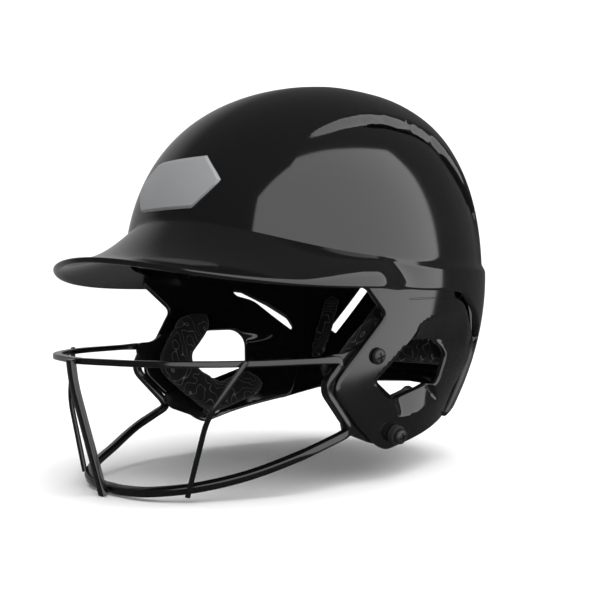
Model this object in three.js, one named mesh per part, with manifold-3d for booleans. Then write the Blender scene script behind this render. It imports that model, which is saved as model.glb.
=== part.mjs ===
// Batting helmet with a bolted wire face guard.
// Millimetres. +X forward (bill), +Y the wearer's left, +Z up.
// The origin is the middle of the head cavity at brow level.
import * as THREE from 'three';
import { mergeVertices } from 'three/addons/utils/BufferGeometryUtils.js';
import Module from 'manifold-3d';

const wasm = await Module();
wasm.setup();

// ---- driving dimensions -------------------------------------------------
const CROWN_Z = 128;          // top of the shell
const BASE_Z = 8;             // height where the dome stands upright
const FRONT = 117;            // dome half lengths and half width at BASE_Z
const BACK = 124;
const HALF_W = 101;
const SQUARE_H = 0.05;        // squareness in plan
const SQUARE_V = 0.09;        // squareness in elevation
const CROWN_X = -14;          // the crown sits behind the middle
const WALL = 3.6;             // moulded shell thickness
const BAND = 1.02;            // the band below the crease stands this much prouder
const NECK_DRAW = 2.55e-5;    // how fast the back draws in below the band
const BILL_REACH = 45;
const BILL_LIP = 4;
const BILL_TIP_Z = 12.5;
const CREASE_Z = 13;
const CREASE_RISE = 22;
const FLAP_Y = 102;           // flap face: y = FLAP_Y + FLAP_TOE z - bow x^2
const FLAP_TOE = 0.214;
const FLAP_BOW_FRONT = 0.00095;
const FLAP_BOW_REAR = 0.0028;
const FLAP_BOW_LOW = 0.0025;  // extra bow of the rear half, below FLAP_BEND_Z
const FLAP_BEND_Z = -46;
const FLAP_BEND_RUN = 33;
const PAD_GAP = 1.1;
const NECK_PAD_GAP = 4.1;     // the neck side pads clear the rear edge of the flaps
const PAD_T = 17;
const JAW_T = 15;
const RAIL_W = 4.8;           // guard wire, across the rail
const TOP_RAIL_H = 3.2;       // upper rail, up and down
const LOW_RAIL_H = 4.3;       // lower rail and brackets, up and down
const CENTRE_D = 5;           // centre bar, along the rail
const CENTRE_W = 3.4;         // centre bar, out from the rail
const SIDE_D = 2.7;           // side bars, along the rail
const SIDE_W = 2.6;           // side bars, out from the rail
const RAIL_Z = -38.1;
const TAB_T = 2.2;
const TOUCH = 0.3;            // clearance where pieces meet
const SHANK_R = 2.4;
const BORE_R = 2.75;
const HEAD_R = 4.6;
const HEAD_H = 3;
const UPPER_SCREW = [38.2, -37.2];
const LOWER_SCREW = [14, -82.7];
const SPACER_T = 3.8;

const rad = (d) => d * Math.PI / 180;
const BAR_TURN = rad(50);     // the way the side bars face, from +X towards the ear

// ---- surfaces -----------------------------------------------------------
// Plan outline of the dome at unit scale, at an azimuth from +X towards +Y.
function outline(phi, off = 0) {
  const c = Math.cos(phi);
  const s = Math.sin(phi);
  const a = (c > 0 ? FRONT : BACK) - off;
  const x = a * c * (1 + SQUARE_H * s * s);
  const y = (HALF_W - off) * s * (1 + SQUARE_H * c * c);
  return [x, y];
}

function dome(phi, psi, off = 0) {
  const c = Math.cos(psi);
  const s = Math.sin(psi);
  const [ox, oy] = outline(phi, off);
  const rho = s * (1 + SQUARE_V * c * c);
  const z = BASE_Z + (CROWN_Z - off - BASE_Z) * c * (1 + SQUARE_V * s * s);
  return new THREE.Vector3(CROWN_X * c * c + rho * ox, rho * oy, z);
}

// Band and neck below the dome: drawn in towards the bottom.
function skirt(phi, z, off = 0) {
  const [ox, oy] = outline(phi, off);
  const s = BAND - NECK_DRAW * (z - BASE_Z) ** 2;
  return new THREE.Vector3(s * ox, s * oy, z);
}

// Dome angle at which the surface reaches a height, by bisection.
function psiAt(z, off = 0) {
  let lo = 0;
  let hi = Math.PI / 2;
  for (let k = 0; k < 30; k++) {
    const mid = (lo + hi) / 2;
    if (dome(0, mid, off).z > z) lo = mid;
    else hi = mid;
  }
  return lo;
}

// One inside surface from crown to neck, for pads and cavity.
function inside(phi, z, off) {
  if (z > BASE_Z + 2) return dome(phi, psiAt(z, off), off);
  const [ox, oy] = outline(phi, off);
  const s = Math.min(1, BAND - NECK_DRAW * (z - BASE_Z) ** 2);
  return new THREE.Vector3(s * ox, s * oy, z);
}

// The flap bows more towards the rear, and most at its lower rear corner.
function flapBow(x, z) {
  if (x > 0) return FLAP_BOW_FRONT;
  const low = Math.min(1.3, Math.max(0, (FLAP_BEND_Z - z) / FLAP_BEND_RUN));
  return FLAP_BOW_REAR + FLAP_BOW_LOW * low;
}

const flapY = (x, z) => FLAP_Y + FLAP_TOE * z - flapBow(x, z) * x * x;

const creaseZ = (phi) => CREASE_Z + CREASE_RISE * Math.max(0, Math.cos(phi)) ** 2.5;
const lipZ = (phi) => BILL_TIP_Z * Math.max(0, Math.cos(phi)) ** 7;

function billReach(phi) {
  const c = Math.max(0, Math.cos(phi));
  return BILL_REACH * (0.7 * c * c + 0.3 * c);
}

// ---- solid builders -----------------------------------------------------
function solidFrom(points, faces) {
  const g = new THREE.BufferGeometry();
  const flat = [];
  for (const p of points) flat.push(p.x, p.y, p.z);
  g.setAttribute('position', new THREE.Float32BufferAttribute(flat, 3));
  g.setIndex(faces.flat());
  const merged = mergeVertices(g, 1e-4);
  const idx = merged.index.array;
  const pos = merged.attributes.position;
  const keep = [];
  let volume = 0;
  const a = new THREE.Vector3();
  const b = new THREE.Vector3();
  const c = new THREE.Vector3();
  for (let i = 0; i < idx.length; i += 3) {
    if (idx[i] === idx[i + 1] || idx[i + 1] === idx[i + 2] || idx[i] === idx[i + 2]) continue;
    keep.push([idx[i], idx[i + 1], idx[i + 2]]);
    a.fromBufferAttribute(pos, idx[i]);
    b.fromBufferAttribute(pos, idx[i + 1]);
    c.fromBufferAttribute(pos, idx[i + 2]);
    volume += a.dot(b.cross(c));
  }
  if (volume < 0) for (const t of keep) t.reverse();
  merged.setIndex(keep.flat());
  return merged;
}

// Shared vertices merged and faces turned outwards.
function tidy(geometry) {
  const g = geometry.clone();
  g.deleteAttribute('normal');
  g.deleteAttribute('uv');
  const m = mergeVertices(g, 1e-4);
  const points = [];
  for (let i = 0; i < m.attributes.position.count; i++) {
    points.push(new THREE.Vector3().fromBufferAttribute(m.attributes.position, i));
  }
  const faces = [];
  for (let i = 0; i < m.index.count; i += 3) {
    faces.push([m.index.array[i], m.index.array[i + 1], m.index.array[i + 2]]);
  }
  return solidFrom(points, faces);
}

// Slab between two gridded surfaces. around: the grid closes on itself in u.
function slab(outer, inner, nu, nv, around = false) {
  const points = [];
  const faces = [];
  const cols = around ? nu : nu + 1;
  for (const f of [outer, inner]) {
    for (let j = 0; j <= nv; j++) {
      for (let i = 0; i < cols; i++) points.push(f(i / nu, j / nv));
    }
  }
  const id = (side, i, j) => side * cols * (nv + 1) + j * cols + (around ? i % nu : i);
  const quad = (p, q, r, s) => faces.push([p, q, r], [p, r, s]);
  for (let j = 0; j < nv; j++) {
    for (let i = 0; i < nu; i++) {
      quad(id(0, i, j), id(0, i, j + 1), id(0, i + 1, j + 1), id(0, i + 1, j));
      quad(id(1, i, j), id(1, i + 1, j), id(1, i + 1, j + 1), id(1, i, j + 1));
    }
  }
  for (let i = 0; i < nu; i++) {
    quad(id(0, i, 0), id(0, i + 1, 0), id(1, i + 1, 0), id(1, i, 0));
    quad(id(0, i, nv), id(1, i, nv), id(1, i + 1, nv), id(0, i + 1, nv));
  }
  if (!around) {
    for (let j = 0; j < nv; j++) {
      quad(id(0, 0, j), id(1, 0, j), id(1, 0, j + 1), id(0, 0, j + 1));
      quad(id(0, nu, j), id(0, nu, j + 1), id(1, nu, j + 1), id(1, nu, j));
    }
  }
  return solidFrom(points, faces);
}

// Corners eased with arcs of a given radius, for side profiles.
function roundedShape(corners, radius) {
  const shape = new THREE.Shape();
  const n = corners.length;
  for (let i = 0; i < n; i++) {
    const p = new THREE.Vector2(...corners[i]);
    const before = new THREE.Vector2(...corners[(i + n - 1) % n]).sub(p);
    const after = new THREE.Vector2(...corners[(i + 1) % n]).sub(p);
    const cut = Math.min(radius, before.length() / 2.2, after.length() / 2.2);
    const from = before.setLength(cut).add(p);
    const to = after.setLength(cut).add(p);
    if (i === 0) shape.moveTo(from.x, from.y);
    else shape.lineTo(from.x, from.y);
    shape.quadraticCurveTo(p.x, p.y, to.x, to.y);
  }
  shape.closePath();
  return shape;
}

// A side profile (x, z) pushed along Y from y0 to y1.
function prism(shape, y0, y1, segments = 3) {
  const g = new THREE.ExtrudeGeometry(shape, {
    depth: y1 - y0, bevelEnabled: false, curveSegments: segments, steps: 1,
  });
  g.rotateX(Math.PI / 2);
  g.translate(0, y1, 0);
  return g;
}

function toManifold(geometry) {
  const g = geometry.clone();
  g.deleteAttribute('normal');
  g.deleteAttribute('uv');
  const m = mergeVertices(g, 1e-4);
  return new wasm.Manifold(new wasm.Mesh({
    numProp: 3,
    vertProperties: new Float32Array(m.attributes.position.array),
    triVerts: new Uint32Array(m.index.array),
  }));
}

function fromManifold(man) {
  const mesh = man.getMesh();
  const g = new THREE.BufferGeometry();
  g.setAttribute('position', new THREE.BufferAttribute(new Float32Array(mesh.vertProperties), 3));
  g.setIndex(new THREE.BufferAttribute(new Uint32Array(mesh.triVerts), 1));
  return g;
}

// Wire of rounded-rectangle section pushed along a path. The first size lies along the
// path's own normal (up and down on a level run), the second across it.
function wire(path, first, second) {
  const w = first / 2;
  const h = second / 2;
  const e = Math.min(w, h) * 0.45;
  const section = new THREE.Shape([
    [w, -h + e], [w, h - e], [w - e, h], [-w + e, h],
    [-w, h - e], [-w, -h + e], [-w + e, -h], [w - e, -h],
  ].map(([x, y]) => new THREE.Vector2(x, y)));
  return tidy(new THREE.ExtrudeGeometry(section, {
    steps: path.length - 1,
    bevelEnabled: false,
    extrudePath: new THREE.CatmullRomCurve3(path),
  }));
}

// Path through corners with eased bends, evenly stepped.
function easedPath(corners, ease, step) {
  const curve = new THREE.CurvePath();
  let from = corners[0].clone();
  for (let i = 1; i + 1 < corners.length; i++) {
    const p = corners[i];
    const before = corners[i - 1].clone().sub(p);
    const after = corners[i + 1].clone().sub(p);
    const cut = Math.min(ease, before.length() / 2.1, after.length() / 2.1);
    const a = before.setLength(cut).add(p);
    const b = after.setLength(cut).add(p);
    curve.add(new THREE.LineCurve3(from, a));
    curve.add(new THREE.QuadraticBezierCurve3(a, p, b));
    from = b;
  }
  curve.add(new THREE.LineCurve3(from, corners[corners.length - 1].clone()));
  const count = Math.max(2, Math.round(curve.getLength() / step));
  return curve.getSpacedPoints(count);
}

function mirrored(geometry) {
  const g = geometry.clone();
  g.scale(1, -1, 1);
  const idx = g.index.array;
  for (let i = 0; i < idx.length; i += 3) {
    const t = idx[i];
    idx[i] = idx[i + 1];
    idx[i + 1] = t;
  }
  return g;
}

// ---- materials and assembly ---------------------------------------------
const LOOKS = {
  shell: [0x17171a, 0.15, 0.0],
  badge: [0x8d9094, 0.4, 0.1],
  pad: [0x202022, 0.95, 0.0],
  guard: [0x1b1b1d, 0.25, 0.3],
  tab: [0x77797c, 0.45, 0.6],
  screw: [0x141416, 0.35, 0.6],
  nut: [0x8a8c90, 0.4, 0.9],
  rubber: [0x19191a, 0.85, 0.0],
};
const helmet = new THREE.Group();
helmet.name = 'batting_helmet';

function add(name, geometry, look) {
  const [color, roughness, metalness] = LOOKS[look];
  const material = new THREE.MeshStandardMaterial({ color, roughness, metalness });
  material.name = look;
  const mesh = new THREE.Mesh(geometry, material);
  mesh.name = name;
  helmet.add(mesh);
}

function addPair(name, geometry, look) {
  add('left_' + name, geometry, look);
  add('right_' + name, mirrored(geometry), look);
}

// ---- side profiles (x, z) -----------------------------------------------
const FLAP_OUTLINE = [
  [-72, 2], [57, 2], [36, -15.5], [64, -49], [65, -57], [50, -71], [25, -89.5], [17, -92.5],
  [-2, -88.7], [-30, -83.5], [-46, -80.5], [-72, -74],
];
const EAR_HOLE = [
  [34.5, -51], [11.5, -31], [-17, -31], [-28, -38], [-25, -55], [-20, -57.5], [11, -64.5],
];
const REAR_OUTLINE = [
  [-24, 4], [-40, 1], [-68, -20], [-72, -30], [-57, -46], [-46, -79], [-85, -71],
  [-112, -66], [-140, -65], [-140, 40], [-24, 40],
];
const SIDE_SLOT = [[-22, 0], [-37, -3], [-60, -23], [-72, -29]];
const REAR_SLOT = [[-108, 45, 0], [-98, 66, -32]];

// ---- outer shell --------------------------------------------------------
// Rows run from the crown to the bottom of the neck.
const DOME_ROWS = 9;
const CREASE_PSI = psiAt(CREASE_Z);
const SKIRT_Z = [9, -4, -22, -42, -62, -84];
const SHELL_ROWS = DOME_ROWS + SKIRT_Z.length;

function shellPoint(u, v, off) {
  const phi = u * 2 * Math.PI;
  const j = Math.round(v * SHELL_ROWS);
  if (j <= DOME_ROWS) return dome(phi, CREASE_PSI * j / DOME_ROWS, off);
  return skirt(phi, SKIRT_Z[j - DOME_ROWS - 1], off);
}

const shellBody = toManifold(slab(
  (u, v) => shellPoint(u, v, 0),
  (u, v) => shellPoint(u, v, WALL),
  46, SHELL_ROWS, true));

// Above the band everything stays; below it only the rear panel does.
const above = toManifold(prism(
  roundedShape([[-150, 2], [150, 2], [150, 140], [-150, 140]], 0.5), -130, 130));
const rear = toManifold(prism(roundedShape(REAR_OUTLINE, 6), -130, 130));
let shell = shellBody.intersect(above.add(rear));

// Bill and side ledge: one tapered ring segment from the crease to the lip.
const BILL_SPAN = rad(97);
function billPoint(u, v, under) {
  const phi = BILL_SPAN * (2 * u - 1);
  const top = dome(phi, psiAt(creaseZ(phi), 1.5), 1.5);
  const [ox, oy] = outline(phi);
  const flat = Math.hypot(ox, oy);
  const reach = BAND * flat + billReach(phi);
  const lip = new THREE.Vector3(ox / flat * reach, oy / flat * reach, lipZ(phi));
  const rootR = Math.hypot(top.x, top.y);
  const r = rootR + (reach - rootR) * v;
  if (under) {
    const rise = 0.35 * (top.z - lip.z) * (1 - v);
    return new THREE.Vector3(ox / flat * r, oy / flat * r, lip.z + rise);
  }
  const drop = Math.pow(1 - v, 1.7);
  const z = lip.z + BILL_LIP + (top.z - lip.z - BILL_LIP) * drop;
  return new THREE.Vector3(ox / flat * r, oy / flat * r, z);
}
const bill = toManifold(slab(
  (u, v) => billPoint(u, v, false),
  (u, v) => billPoint(u, v, true),
  36, 4));
shell = shell.add(bill);

// Ear flaps: one curved panel each side, set in from the ledge and rear panel.
const flapSlab = slab(
  (u, v) => {
    const x = -76 + 154 * u;
    const z = 3 - 99 * v;
    return new THREE.Vector3(x, flapY(x, z), z);
  },
  (u, v) => {
    const x = -76 + 154 * u;
    const z = 3 - 99 * v;
    return new THREE.Vector3(x, flapY(x, z) - WALL, z);
  },
  12, 3);
const flapKeep = toManifold(prism(roundedShape(FLAP_OUTLINE, 5), 60, 130));
const flap = toManifold(flapSlab).intersect(flapKeep);
shell = shell.add(flap).add(toManifold(mirrored(fromManifold(flap))));

// Ear holes, screw holes, slots and vents.
const earCut = toManifold(prism(roundedShape(EAR_HOLE, 5), 60, 130));
shell = shell.subtract(earCut).subtract(toManifold(mirrored(fromManifold(earCut))));

// Slot of even width along a line in the side profile.
function slotShape(line, width) {
  const left = [];
  const right = [];
  line.forEach((p, i) => {
    const next = line[Math.min(i + 1, line.length - 1)];
    const prev = line[Math.max(i - 1, 0)];
    const run = Math.hypot(next[0] - prev[0], next[1] - prev[1]);
    const nx = -(next[1] - prev[1]) / run * width / 2;
    const nz = (next[0] - prev[0]) / run * width / 2;
    left.push([p[0] + nx, p[1] + nz]);
    right.unshift([p[0] - nx, p[1] - nz]);
  });
  return roundedShape([...left, ...right], 2.4);
}
const sideSlot = toManifold(prism(slotShape(SIDE_SLOT, 6), 60, 130, 2));
shell = shell.subtract(sideSlot).subtract(toManifold(mirrored(fromManifold(sideSlot))));
const rearRun = new THREE.Vector3(...REAR_SLOT[1]).sub(new THREE.Vector3(...REAR_SLOT[0]));
const rearMid = new THREE.Vector3(...REAR_SLOT[1]).add(new THREE.Vector3(...REAR_SLOT[0]));
const rearBox = new THREE.BoxGeometry(40, 6, rearRun.length());
const rearX = new THREE.Vector3(-0.85, 0.5, 0);
const rearZ = rearRun.clone().normalize();
const rearY = new THREE.Vector3().crossVectors(rearZ, rearX).normalize();
rearX.crossVectors(rearY, rearZ).normalize();
rearBox.applyMatrix4(new THREE.Matrix4().makeBasis(rearX, rearY, rearZ)
  .setPosition(rearMid.multiplyScalar(0.5)));
const rearSlot = toManifold(tidy(rearBox));
shell = shell.subtract(rearSlot).subtract(toManifold(mirrored(fromManifold(rearSlot))));

// Two vent slots each side, high above the ear.
const VENTS = [
  { from: 70, to: 99, z0: 92, z1: 88 },
  { from: 102, to: 116, z0: 70, z1: 50 },
];
for (const v of VENTS) {
  const path = [];
  for (let k = 0; k <= 3; k++) {
    const phi = rad(v.from + (v.to - v.from) * k / 3);
    const z = v.z0 + (v.z1 - v.z0) * k / 3;
    path.push(dome(phi, psiAt(z, 2), 2));
  }
  const cut = toManifold(wire(path, 5, 24));
  shell = shell.subtract(cut).subtract(toManifold(mirrored(fromManifold(cut))));
}

// ---- fasteners ----------------------------------------------------------
// Local frame on the flap face at (x, z): axis points out of the helmet.
function flapFrame([x, z]) {
  const axis = new THREE.Vector3(2 * flapBow(x, z) * x, 1, -FLAP_TOE).normalize();
  const turn = new THREE.Quaternion().setFromUnitVectors(new THREE.Vector3(0, 1, 0), axis);
  return new THREE.Matrix4().makeRotationFromQuaternion(turn)
    .setPosition(x, flapY(x, z), z);
}

function turned(profile, segments = 16) {
  const points = profile.map(([r, y]) => new THREE.Vector2(r, y));
  return tidy(new THREE.LatheGeometry(points, segments));
}

const TAB_BACK = -(WALL + TOUCH + TAB_T);
const NUT_TOP = TAB_BACK - TOUCH;
const NUT_LOW = NUT_TOP - 4;

function screwProfile(lift) {
  return [
    [0, NUT_LOW - 0.8], [SHANK_R, NUT_LOW - 0.8], [SHANK_R, lift + TOUCH],
    [HEAD_R, lift + TOUCH], [HEAD_R, lift + TOUCH + HEAD_H * 0.45],
    [HEAD_R * 0.72, lift + TOUCH + HEAD_H * 0.9], [0, lift + TOUCH + HEAD_H],
  ];
}
function ringProfile(r0, r1, y0, y1) {
  return [[r0, y0], [r1, y0], [r1, y1], [r0, y1], [r0, y0]];
}
// Cross recess in the head.
function recessed(screw, lift) {
  let m = toManifold(screw);
  for (const turn of [0, Math.PI / 2]) {
    const b = new THREE.BoxGeometry(5.2, 2.4, 1.3);
    b.rotateY(turn + 0.35);
    b.translate(0, lift + TOUCH + HEAD_H, 0);
    m = m.subtract(toManifold(b));
  }
  return fromManifold(m);
}

for (const [label, at, lift] of [['upper', UPPER_SCREW, 0], ['lower', LOWER_SCREW, SPACER_T + 0.6]]) {
  const frame = flapFrame(at);
  const screw = recessed(turned(screwProfile(lift)), lift);
  addPair(label + '_screw', screw.applyMatrix4(frame), 'screw');
  const nut = turned(ringProfile(BORE_R, 5.2, NUT_LOW, NUT_TOP), 16);
  addPair(label + '_nut', nut.applyMatrix4(frame), 'nut');
  if (lift > 0) {
    const spacer = turned(ringProfile(BORE_R, 5.6, TOUCH, TOUCH + SPACER_T), 20);
    addPair('lower_spacer', spacer.applyMatrix4(frame), 'rubber');
  }
  const bore = toManifold(turned([[0, -12], [BORE_R, -12], [BORE_R, 6], [0, 6]]).applyMatrix4(frame));
  shell = shell.subtract(bore).subtract(toManifold(mirrored(fromManifold(bore))));
}
add('outer_shell', fromManifold(shell), 'shell');

// ---- face guard ---------------------------------------------------------
// Half of the closed wire loop, front centre to front centre, on the left.
const wireY = (x, z) => flapY(x, z) - WALL + RAIL_W / 2;
const V = (x, y, z) => new THREE.Vector3(x, y, z);
const railTop = new THREE.CatmullRomCurve3([
  V(165.5, -0.01, RAIL_Z), V(162.5, 14.5, RAIL_Z), V(154, 42, RAIL_Z), V(137.2, 62.5, RAIL_Z),
  V(116.4, 76.5, RAIL_Z), V(89.2, 84.4, RAIL_Z), V(78, wireY(78, RAIL_Z), RAIL_Z),
]);
const REAR_BEND = V(61.5, wireY(61.5, RAIL_Z), RAIL_Z);
const KNEE = V(72.5, wireY(72.5, -52.5), -52.5);
const LOW_BEND = V(47.5, wireY(47.5, -78), -78);
const railLow = new THREE.CatmullRomCurve3([
  V(60, 79.5, -82.2), V(80, 74, -88.9), V(104, 62, -97), V(126, 47.5, -102.2),
  V(141.5, 29, -105), V(145.8, 10, -105.8), V(146.5, -0.01, -105.8),
]);
const CENTRE_FOOT_Z = -109;
const SIDE_FOOT_Z = -105.5;
const SIDE_TOP_Z = RAIL_Z + 0.6;
const SIDE_TOP_Y = 75.4;      // how wide the rails are where the side bars stand
const SIDE_LOW_Y = 43.9;

const topHalf = railTop.getSpacedPoints(14);
const upperPath = [];
for (let i = topHalf.length - 1; i > 0; i--) {
  upperPath.push(V(topHalf[i].x, -topHalf[i].y, topHalf[i].z));
}
upperPath.push(...topHalf.map((p) => V(p.x, Math.abs(p.y), p.z)));
add('guard_upper_rail', wire(upperPath, TOP_RAIL_H, RAIL_W), 'guard');

const lowHalf = railLow.getSpacedPoints(14);
const lowerPath = lowHalf.slice(0, -1);
for (let i = lowHalf.length - 1; i >= 0; i--) {
  lowerPath.push(V(lowHalf[i].x, -Math.abs(lowHalf[i].y), lowHalf[i].z));
}
add('guard_lower_rail', wire(lowerPath, LOW_RAIL_H, RAIL_W), 'guard');

// Side brackets: from the end of the upper rail round the flap edge.
const topEnd = topHalf[topHalf.length - 1].clone();
const topDir = topEnd.clone().sub(topHalf[topHalf.length - 2]).normalize();
const lowEnd = lowHalf[0].clone();
const lowDir = lowEnd.clone().sub(lowHalf[1]).normalize();
const bracketPath = easedPath([
  topEnd.addScaledVector(topDir, TOUCH), REAR_BEND, KNEE, LOW_BEND,
  lowEnd.addScaledVector(lowDir, TOUCH),
], 7, 4.2);
addPair('guard_bracket', wire(bracketPath, LOW_RAIL_H, RAIL_W), 'guard');

// Upright bars stand on the outside of both rails.
const beyondRail = (barW) => (RAIL_W + barW) / 2 + TOUCH;
const topFront = topHalf[0].x + beyondRail(CENTRE_W);
const lowFront = lowHalf[lowHalf.length - 1].x + beyondRail(CENTRE_W);
const centreBar = easedPath([
  V(topFront + 1, 0, RAIL_Z + 0.8), V(topFront - 0.8, 0, -50), V(lowFront + 0.5, 0, CENTRE_FOOT_Z),
], 6, 6);
add('guard_centre_bar', wire(centreBar, CENTRE_D, CENTRE_W), 'guard');

// Point beside a rail, clear of its outer face, where the rail is y wide of centre.
function besideRail(rail, y, z, out) {
  const path = rail.getSpacedPoints(80);
  let best = 1;
  for (let i = 1; i + 1 < path.length; i++) {
    if (Math.abs(path[i].y - y) < Math.abs(path[best].y - y)) best = i;
  }
  const along = path[best + 1].clone().sub(path[best - 1]);
  const away = V(Math.abs(along.y), Math.abs(along.x), 0).normalize();
  return V(path[best].x + away.x * out, path[best].y + away.y * out, z);
}
const sideTop = besideRail(railTop, SIDE_TOP_Y, SIDE_TOP_Z, beyondRail(SIDE_W) + 0.9);
const sideLow = besideRail(railLow, SIDE_LOW_Y, SIDE_FOOT_Z, beyondRail(SIDE_W) + 0.6);
const sideKnee = V(133, 63.5, -65);
// The bar is bent in a frame turned to face the same way as the rails do beside it.
const UP = V(0, 0, 1);
const sidePath = [sideTop, sideKnee, sideLow].map((p) => p.applyAxisAngle(UP, -BAR_TURN));
const sideBar = wire(easedPath(sidePath, 8, 6), SIDE_W, SIDE_D);
sideBar.rotateZ(BAR_TURN);
addPair('guard_side_bar', sideBar, 'guard');

// ---- mounting tabs inside the flaps ---------------------------------------
// Each plate runs back from the wire to its screw, against the flap's inner face.
function tabPlate(corners, screwAt) {
  const xs = corners.map((c) => c[0]);
  const zs = corners.map((c) => c[1]);
  const x0 = Math.min(...xs) - 2;
  const x1 = Math.max(...xs) + 2;
  const z0 = Math.min(...zs) - 2;
  const z1 = Math.max(...zs) + 2;
  const face = (u, v, depth) => {
    const x = x0 + (x1 - x0) * u;
    const z = z0 + (z1 - z0) * v;
    return V(x, flapY(x, z) - WALL - depth, z);
  };
  const plate = toManifold(slab(
    (u, v) => face(u, v, TOUCH + 0.1),
    (u, v) => face(u, v, TOUCH + 0.1 + TAB_T - 0.2), 4, 1));
  const keep = toManifold(prism(roundedShape(corners, 5), 50, 120));
  const bore = toManifold(
    turned([[0, -14], [BORE_R, -14], [BORE_R, 6], [0, 6]]).applyMatrix4(flapFrame(screwAt)));
  return plate.intersect(keep).subtract(bore);
}
const TABS = {
  upper: [[
    [30, -30], [48, -30], [57, -35.5], [69, -35.5], [72.5, -41], [67, -50], [55, -47], [31, -44.5],
  ], UPPER_SCREW],
  lower: [[[6, -75], [40, -68], [53, -70], [50, -79], [24, -88.5], [7, -88.8]], LOWER_SCREW],
};
const tabs = {};
for (const [label, [corners, at]] of Object.entries(TABS)) {
  tabs[label] = tabPlate(corners, at);
  addPair(label + '_guard_tab', fromManifold(tabs[label]), 'tab');
}

// ---- padding ------------------------------------------------------------
// Pad patch between two azimuths and two heights, following the shell.
// flare: how far each side spreads towards the bottom, in degrees.
// lean: how far the top leans back, and the bottom forward, in degrees.
function padPatch(phi0, phi1, z0, z1, thick, nu, nv, flare = 0, lean = 0, gap = PAD_GAP) {
  const at = (u, v, off) => {
    const spread = flare * (2 * u - 1) * (1 - v) + lean * (2 * v - 1);
    const phi = rad(phi0 + (phi1 - phi0) * u + spread);
    return inside(phi, z0 + (z1 - z0) * v, off);
  };
  const bevel = (t) => Math.min(1, 6 * Math.min(t, 1 - t) + 0.55);
  return slab(
    (u, v) => at(u, v, WALL + gap),
    (u, v) => at(u, v, WALL + gap + thick * Math.min(bevel(u), bevel(v))),
    nu, nv);
}
add('forehead_pad', padPatch(-40, 40, 8, 66, PAD_T, 12, 6), 'pad');
add('rear_pad', padPatch(160, 200, -56, -5, PAD_T, 10, 6, 20), 'pad');
addPair('temple_pad', padPatch(46, 100, 10, 72, PAD_T, 8, 6), 'pad');
addPair('rear_side_pad', padPatch(108, 150, 12, 72, PAD_T, 6, 6), 'pad');
addPair('neck_side_pad', padPatch(133, 141.5, -54, -2, 8, 3, 6, 0, 4, NECK_PAD_GAP), 'pad');

// Crown pad: a domed cushion with a vent hole.
const crownAt = (u, v, off) => {
  const psi = rad(8 + 30 * v);
  return dome(u * 2 * Math.PI, psi, off);
};
add('crown_pad', slab(
  (u, v) => crownAt(u, v, WALL + PAD_GAP),
  (u, v) => crownAt(u, v, WALL + PAD_GAP + 14 * Math.min(1, 4 * Math.min(v, 1 - v) + 0.5)),
  20, 4, true), 'pad');

// Jaw pads: flat cushions inside the flaps, in front of the ear opening and below it.
const JAW_OUTLINE = [
  [13, -20], [36, -20], [59, -47], [59, -58], [47, -68], [23, -86], [14, -87], [-28, -78.5],
  [-31, -70], [-18, -61], [11, -67.5], [37.5, -51.5], [13, -29.5],
];
const jawSlab = toManifold(slab(
  (u, v) => {
    const x = -50 + 120 * u;
    const z = -2 - 88 * v;
    return V(x, flapY(x, z) - WALL - PAD_GAP, z);
  },
  (u, v) => {
    const x = -50 + 120 * u;
    const z = -2 - 88 * v;
    return V(x, flapY(x, z) - WALL - PAD_GAP - JAW_T, z);
  },
  10, 4));
let jaw = jawSlab.intersect(toManifold(prism(roundedShape(JAW_OUTLINE, 5), 50, 120)));
// Pockets for the tabs and nuts.
const POCKETS = [
  [[26, -26], [80, -26], [80, -54], [50, -54], [26, -47.5]],
  [[2, -71], [38, -65], [80, -65], [60, -95], [2, -95]],
];
const pocketSlab = toManifold(slab(
  (u, v) => {
    const x = -50 + 140 * u;
    const z = -2 - 96 * v;
    return V(x, flapY(x, z) + 5, z);
  },
  (u, v) => {
    const x = -50 + 140 * u;
    const z = -2 - 96 * v;
    return V(x, flapY(x, z) + NUT_LOW - 2.2, z);
  },
  10, 4));
for (const corners of POCKETS) {
  jaw = jaw.subtract(pocketSlab.intersect(toManifold(prism(roundedShape(corners, 2), 50, 120))));
}
addPair('jaw_pad', fromManifold(jaw), 'pad');

// ---- badge --------------------------------------------------------------
// Plain lozenge plate on the forehead.
const BADGE_OFF = -TOUCH;
const BADGE_HALF = 44;        // half width round the dome, at mid height
const BADGE_LOW = 43;
const BADGE_HIGH = 73;
const badgeAt = (u, v, off) => {
  const half = BADGE_HALF * (1 - 0.4 * Math.abs(2 * v - 1));
  const z = BADGE_LOW + (BADGE_HIGH - BADGE_LOW) * v;
  const phi = (2 * u - 1) * half / FRONT;
  return dome(phi, psiAt(z, off), off);
};
add('forehead_badge', slab(
  (u, v) => badgeAt(u, v, BADGE_OFF - 1.2),
  (u, v) => badgeAt(u, v, BADGE_OFF), 10, 4), 'badge');

export default helmet;
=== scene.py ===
import math

import bmesh
import bpy
import numpy as np
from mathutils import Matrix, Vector
from mathutils.geometry import delaunay_2d_cdt


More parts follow.
